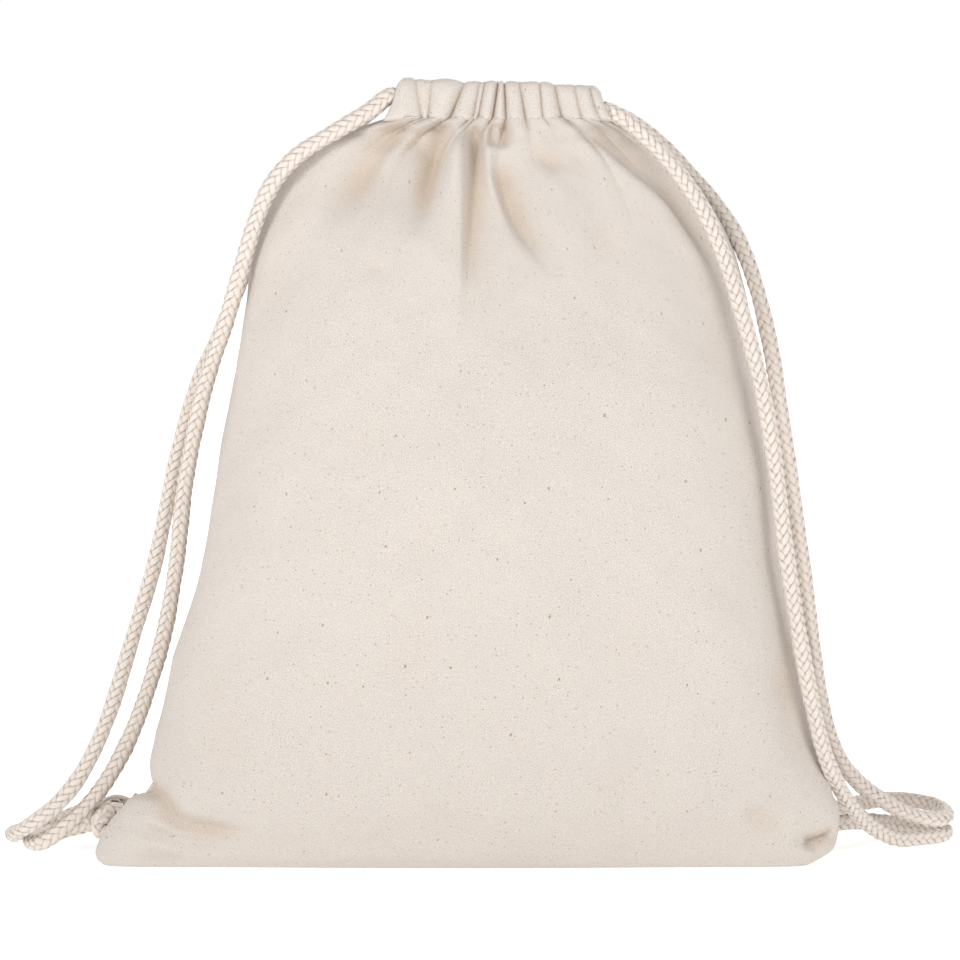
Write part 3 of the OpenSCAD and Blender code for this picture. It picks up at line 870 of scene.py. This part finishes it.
def soft_waves(u, v, seed, amounts):
    """Low irregular waves over the cloth: amounts is a list of (height, wavelength, count)."""
    random = np.random.default_rng(seed)
    total = np.zeros(u.shape)
    for height, wavelength, count in amounts:
        for _ in range(count):
            angle = random.uniform(0, math.pi)
            length = wavelength * random.uniform(0.7, 1.4)
            phase = random.uniform(0, 2 * math.pi)
            k = 2 * math.pi / length
            total += height / math.sqrt(count) * np.sin(
                k * (u * math.cos(angle) + v * math.sin(angle)) + phase)
    return total


def blurred(field, cells):
    """The field averaged over a square of cells, edges repeated."""
    out = field
    for axis in (0, 1):
        pads = [(0, 0), (0, 0)]
        pads[axis] = (cells + 1, cells)
        total = np.cumsum(np.pad(out, pads, mode="edge"), axis=axis)
        n = field.shape[axis]
        span = 2 * cells + 1
        out = (np.take(total, np.arange(span, span + n), axis=axis)
               - np.take(total, np.arange(0, n), axis=axis)) / span
    return out


def shaped_panel(side, grooves, folds, seed):
    """Rest grid, outward directions, fold heights and thread directions of one panel."""
    grid = panel_grid(side)
    rows, columns = grid.shape[:2]
    x, z = grid[..., 0], grid[..., 2]
    normals = grid_normals(grid) * side
    u = np.linspace(-0.5, 0.5, columns)[None, :] * PANEL_WIDTH * np.ones((rows, 1))
    v = along(grid[:, columns // 2])[:, None] * np.ones((1, columns))
    centre = (x.min(1) + x.max(1))[:, None] / 2
    half = (x.max(1) - x.min(1))[:, None] / 2
    across = (x - centre) / half
    mouth_x = sum(MOUTH) / 2 + (MOUTH[1] - MOUTH[0]) / 2 * across * 1.01
    height = gathers(mouth_x, z, grooves)
    for fold in folds:
        height += fold_height(x, z, fold)
    body = fade(2, 30, z) * (1 - fade(338, 348, z))
    height += body * soft_waves(u, v, seed, [(1.2, 120, 6), (0.55, 60, 8), (0.16, 26, 8)])
    edge = np.minimum(u - u.min(), u.max() - u)
    height -= 0.7 * np.exp(-(edge / 2.0) ** 1.5) * fade(4, 20, z) * (1 - fade(330, 345, z))
    height *= fade(-1.0, 3.5, z)
    sideways = np.exp(-(edge / 6.0) ** 2)[..., None]
    outward = np.sign(u)[..., None] * np.array([1.0, 0, 0])
    normals = unit(normals * (1 - sideways) + sideways * outward)
    normals[..., 2] *= 1 - fade(334, 344, z)
    normals = unit(normals)
    top = fade(344.5, 348.5, z) * (1 - fade(0.80, 0.97, np.abs(across)))
    tuck = CLOTH_T * fade(STITCH_Z, PROFILE[-1][0], z)
    face = CHANNEL_Y + CHANNEL_HALF_T + ruffle(mouth_x, grooves, RUFFLE) - tuck
    return grid, normals, height, edge, top, face, np.stack([u, v, np.zeros_like(u)], axis=-1)


def move_edges(grid):
    """Moves the left edge to its table and lets the right edge stand out above its corner."""
    columns = grid.shape[1]
    left = np.interp(grid[:, 0, 2], *np.array(LEFT_EDGE).T) - grid[:, 0, 0]
    left = left * (1 - fade(*EDGE_FADE, grid[:, 0, 2]))
    inland = np.linspace(0, PANEL_WIDTH, columns)[None, :] / (9 + 19 * fade(38, 56, grid[:, :1, 2]))
    grid[..., 0] += left[:, None] * np.exp(-inland ** 1.5)
    right = RIGHT_BULGE * np.exp(-((grid[:, -1, 2] - BULGE_Z) / 13) ** 2)
    inland = np.linspace(PANEL_WIDTH, 0, columns) / 14
    grid[..., 0] += right[:, None] * np.exp(-inland ** 1.5)


def make_panels(material):
    shapes = {side: shaped_panel(side, grooves, folds, seed) for side, grooves, folds, seed in (
        (-1, FRONT_GROOVES, FRONT_FOLDS, 11), (1, BACK_GROOVES, BACK_FOLDS, 23))}
    seam_heights = (shapes[-1][2][:, [0, -1]] + shapes[1][2][:, [0, -1]]) / 2
    for side, name, lip in ((-1, "front", "front_lip"), (1, "back", "back_lip")):
        grid, normals, height, edge, top, face, threads = shapes[side]
        half = grid.shape[1] // 2
        change = seam_heights - height[:, [0, -1]]
        near = np.exp(-(edge / 7.0) ** 2)
        nearest = np.where(np.arange(grid.shape[1]) < half, change[:, :1], change[:, 1:])
        height = height + near * nearest
        # painted shade: how far each place lies below its blurred surroundings, which darkens and
        # warms the cloth's colour in the folds
        painted_shade = np.clip((blurred(height, 7) - height - 0.15) / 3.0, 0, 1)
        painted_shade = np.clip(painted_shade + (blurred(height, 20) - height - 0.5) / 5.5 * (height < -0.5), 0, 1)
        painted_shade = blurred(painted_shade, 3)
        grid = grid + normals * height[..., None]
        grid[..., 1] = grid[..., 1] * (1 - top) + side * face * top
        move_edges(grid)
        grid[..., 2] = np.maximum(grid[..., 2], 0)
        cloth = solid_sheet(f"{name}_cloth", grid, CLOTH_T, material, threads, painted_shade, flip=side < 0)
        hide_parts(f"{name}_panel")
        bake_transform(cloth)


# The channels' upper edge from left to right, as (x, z).
CHANNEL_TOP = [
    (-33, 364.2), (-32, 365.4), (-30, 366.8), (-26, 367.8), (-18, 367), (0, 366.2), (25, 366),
    (40, 365), (52, 364.2), (58, 363.4), (61, 362.6), (62.5, 361.8),
]
CHANNEL_HALF_T = 5.2
CHANNEL_HALF_H = 8.8
CHANNEL_LEAN = 1.2        # how far the channel's outer face leans in at the top
CHANNEL_GIRTH = 53        # length of cloth once round the channel
RUFFLE = 4.0              # how far the widest ruffles stand out from the grooves between them
END_FLARE = 6             # how far the foot of the channel spreads at its two ends
CHANNEL_STEP = 0.3
CHANNEL_AROUND = 72


def channel_square(s):
    """Squareness of the channel's section: a flat foot and a rounder top."""
    return np.where(s > 0, 3.6, 9.0)


def channel_angles():
    """Angles that give evenly spaced points round the channel's section, from its inner side."""
    dense = np.linspace(-math.pi, math.pi, 7201)
    c, s = np.cos(dense), np.sin(dense)
    power = 2 / channel_square(s)
    path = along(np.column_stack([np.sign(c) * np.abs(c) ** power * CHANNEL_HALF_T,
                                  np.sign(s) * np.abs(s) ** power * CHANNEL_HALF_H]))
    return np.interp(np.linspace(0, path[-1], CHANNEL_AROUND, endpoint=False), path, dense)


def channel_grid(side, grooves, seed):
    """The gathered tube of cloth round both cords, as rings along the mouth."""
    low, high = box_mm("front_channel")
    x = np.arange(low[0], high[0] + 1e-6, CHANNEL_STEP)[:, None]
    a = channel_angles()[None, :]
    top = np.interp(x, *np.array(CHANNEL_TOP).T)
    bottom = STITCH_Z
    middle, half_h = (top + bottom) / 2 - 0.4, (top - bottom) / 2 + 0.4
    c, s = np.cos(a), np.sin(a)
    square = channel_square(s)
    out = np.sign(c) * np.abs(c) ** (2 / square) * CHANNEL_HALF_T
    rise = np.sign(s) * np.abs(s) ** (2 / square) * half_h
    climb = np.clip((rise + half_h) / (2 * half_h), 0, 1)
    out = out - CHANNEL_LEAN * climb * np.clip(c, 0, 1) ** 0.5
    share = climb + 0.12 * np.sin(x / 6.0 + seed)
    foot = np.stack([leaning(x[:, 0], share[:, k], grooves) for k in range(CHANNEL_AROUND)], axis=1)
    height = ruffle(foot, grooves, RUFFLE) * (1 - 0.22 * share * (1 + np.sin(x / 3.5 + seed)))
    ends = np.sqrt(np.clip(np.minimum(x - low[0], high[0] - x) / 4.0, 0, 1))
    height = height * (0.25 + 0.75 * ends) - 0.9 * (1 - ends)
    height = height * (0.66 + 0.34 * c)
    tuck = -0.6 * (1 - fade(0.2, 1.9, rise + half_h)) * (c > 0)
    flare = END_FLARE * (1 - climb) ** 1.5 * (np.exp((x - high[0]) / 7) - np.exp((low[0] - x) / 7))
    grid = np.stack([x + flare,
                     side * (CHANNEL_Y + out + np.sign(c) * np.abs(c) ** 0.4 * height + tuck),
                     middle + rise + np.clip(s, 0, 1) * 0.55 * height], axis=-1)
    girth = np.linspace(0, CHANNEL_GIRTH, CHANNEL_AROUND, endpoint=False)[None, :]
    flat = np.stack(np.broadcast_arrays(x * 1.4, girth, 0.0), axis=-1)
    # painted shade: how far each place lies below its blurred surroundings, darkening the cloth's
    # colour in the grooves between the ruffles
    painted_shade = np.clip((blurred(height, 6) - height) / 1.8, 0, 1)
    return grid, flat, painted_shade


def make_channels(material, thread):
    for side, name, lip, grooves, seed in ((-1, "front", "front_lip", FRONT_GROOVES, 1.0),
                                           (1, "back", "back_lip", BACK_GROOVES, 2.6)):
        grid, flat, painted_shade = channel_grid(side, grooves, seed)
        cloth = solid_sheet(f"{name}_channel_cloth", grid, CLOTH_T, material, flat, painted_shade,
                            closed=True, flip=side > 0)
        fit(cloth, lip, f"{name}_channel")
        make_topstitch(side, name, lip, grooves, thread)


STITCH_PITCH = 3.2
STITCH_LENGTH = 2.3
THREAD_R = 0.2


def make_topstitch(side, name, lip, grooves, thread):
    """The row of stitches that closes the channel, following the ruffles."""
    low, high = box_mm(f"{name}_topstitch")
    parts = []
    x = low[0]
    while x < high[0]:
        along_x = np.linspace(x, x + STITCH_LENGTH, 9)
        sink = np.abs(np.linspace(-1, 1, 9)) ** 4 * 0.5
        proud = ruffle(along_x, grooves, RUFFLE)
        y = side * (STITCH_Y + proud - sink)
        z = STITCH_Z + 1.1 + 0.12 * np.sin(along_x * 0.7)
        parts.append(tube(np.column_stack([along_x, y, z]), THREAD_R, 6))
        x += STITCH_PITCH
    points, faces = joined(parts)
    sewn(f"{name}_stitch_row", points, faces, thread, lip, f"{name}_topstitch")


# ---------------- tape, seams and tacks

def ribbon(points, widths, width, thickness, steps=10):
    """Points, faces and thread directions of a flat band along points, wide along widths."""
    tangent = unit(np.gradient(points, axis=0))
    widths = unit(widths - np.sum(widths * tangent, axis=1)[:, None] * tangent)
    normal = np.cross(tangent, widths)
    w = np.linspace(-0.5, 0.5, steps + 1) * width
    bulge = np.sqrt(np.clip(1 - (2 * w / width) ** 4, 0.05, 1)) * thickness / 2
    section = [(a, h) for a, h in zip(w, bulge)] + [(a, -h) for a, h in zip(w[::-1], bulge[::-1])]
    n = len(section)
    verts = np.array([p + a * wd + h * nm for p, wd, nm in zip(points, widths, normal)
                      for a, h in section])
    s = along(points)
    flat = np.array([(a, si, 0) for si in s for a, _ in section]) * MM
    faces = grid_faces(len(points), n, closed=True).tolist()
    last = (len(points) - 1) * n
    faces += [list(range(n)), [last + k for k in range(n - 1, -1, -1)]]
    return verts, faces, flat


# Each loop's middle of the eye, its root in the seam, and the direction of the eye's axis.
LOOPS = {
    "left": ((-169, 33, 15), (-158.5, 8, 25.5), (0, 1, 0)),
    "right": ((168, 34, 14), (172, 3, 43), (1, 0, 0)),
}
TAPE_W = 9
TAPE_T = 1.2
LOOP_R = 9.6              # radius of the loop's eye, to the middle of the tape


def make_loops(material):
    """A loop of tape at each bottom corner, sewn into the side seam, with both strands in it."""
    for owner, (hole, root, axis) in LOOPS.items():
        hole, root, axis = (np.array(q, float) for q in (hole, root, axis))
        out = root - hole
        out = unit(out - (out @ axis) * axis)
        other = np.cross(axis, out)
        a = np.linspace(0.22, 2 * math.pi - 0.22, 49)
        eye = hole + LOOP_R * (np.cos(a)[:, None] * out + np.sin(a)[:, None] * other)
        start = hole + out * (LOOP_R + TAPE_T / 2)
        leg = unit(root - start)
        lateral = unit(np.cross(leg, axis))
        t = np.linspace(0.18, 1, 10)[:, None]
        there = start + (root - start) * t + lateral * TAPE_T * 0.55
        back = start + (root - start) * t - lateral * TAPE_T * 0.55
        if (eye[-1] - eye[0]) @ lateral < 0:
            there, back = back, there
        line = np.vstack([back[::-1], eye, there])
        line = smooth(line, 2)
        widths = np.tile(axis, (len(line), 1))
        verts, faces, flat = ribbon(line, widths, TAPE_W, TAPE_T)
        loop = piece(f"corner_tape_{owner}", verts, faces, material, {"threads": flat})
        fit(loop, "bag", f"corner_loop_{owner}")


def overlock(edge, inward, thread_step=2.4, reach=4.5):
    """A thread that wraps to and fro over a raw edge."""
    s = along(edge)
    count = int(s[-1] / thread_step)
    at = np.repeat(np.linspace(0, s[-1], count), 4)
    base = np.column_stack([np.interp(at, s, edge[:, k]) for k in range(3)])
    cycle = np.tile([(0, 0.7), (1, 0.7), (1, -0.7), (0, -0.7)], (count, 1))
    points = base + inward * (reach * cycle[:, :1]) + np.array([0, 1.0, 0]) * cycle[:, 1:]
    return tube(smooth(points, 3), 0.22, 5)


def make_seams(material, thread):
    """The overlocked edges of the side seams and the bottom seam, inside the bag."""
    for name, sign in (("left", 1), ("right", -1)):
        low, high = box_mm(f"side_seam_{name}")
        rows = profile_rows()
        rows = rows[(rows[:, 0] > low[2]) & (rows[:, 0] < high[2])][::3]
        ear = EAR_FORWARD * (1 - fade(10, EAR_TOP, rows[:, 0])) * 0.8
        line = np.column_stack([rows[:, 1] - sign * (rows[:, 2] - 8.6), -ear, rows[:, 0]])
        inward = np.array([sign, 0.0, 0.0])
        verts, faces, flat = ribbon(line, np.tile(inward, (len(line), 1)), 8, 1.0, 6)
        band = piece(f"side_seam_{name}_allowance", verts, faces, material, {"threads": flat})
        fit(band, "bag", f"side_seam_{name}")
        verts, faces = overlock(line + inward * 4.1, -inward)
        sewn(f"side_seam_{name}_overlock", verts, faces, thread, "bag")
    low, high = box_mm("bottom_seam")
    x = np.linspace(low[0], high[0], 120)
    line = np.column_stack([x, 0 * x, np.full_like(x, (low[2] + high[2]) / 2)])
    verts, faces, flat = ribbon(line, np.tile(UP, (len(line), 1)), high[2] - low[2], 1.0, 6)
    band = piece("bottom_seam_allowance", verts, faces, material, {"threads": flat})
    fit(band, "bag", "bottom_seam")
    verts, faces = overlock(line + UP * 4.1, -UP)
    sewn("bottom_seam_overlock", verts, faces, thread, "bag")


def make_bartacks(thread):
    """A dense row of stitches that locks the bottom of each side slit."""
    for name in ("left", "right"):
        low, high = box_mm(f"bartack_{name}")
        middle = (low + high) / 2
        y = np.linspace(low[1], high[1], 33)
        zig = np.where(np.arange(33) % 2 == 0, -1.1, 1.1)
        core = np.column_stack([np.full(2, middle[0]), [low[1], high[1]], np.full(2, middle[2])])
        sway = 0.6 * np.cos(np.arange(33) * math.pi / 2)
        wrap = np.column_stack([middle[0] + zig, y, middle[2] + sway])
        points, faces = joined([tube(resample(core, 1.0), 0.7, 8), tube(smooth(wrap, 4), 0.25, 6)])
        sewn(f"slit_tack_{name}", points, faces, thread, "bag", f"bartack_{name}")


def make_studio():
    """A pale round floor under the object."""
    a = np.linspace(0, 2 * math.pi, 97)[:-1]
    rings = np.array([0.01, 0.4, 1.0, 2.0, 4.0, 12.0])[:, None] / MM
    grid = np.stack([rings * np.cos(a), rings * np.sin(a), np.zeros((len(rings), len(a)))], axis=-1)
    faces = grid_faces(len(rings), len(a), closed=True)[:, ::-1].tolist() + [list(range(len(a)))]
    floor = piece("studio_floor", grid.reshape(-1, 3), faces, floor_material())


make_camera()
make_cords()
make_light()
make_studio()
cloth = cloth_material("cotton_cloth")
tape = cloth_material("cotton_tape", TAPE_COLOUR, pitch=0.9, relief=0.00015, speck_share=0.15)
overlocked = cloth_material("seam_allowance", TAPE_COLOUR)
thread = cord_material("sewing_thread", THREAD_COLOUR, relief=0.00003)
make_panels(cloth)
make_channels(cloth, thread)
make_loops(tape)
make_seams(overlocked, thread)
make_bartacks(thread)
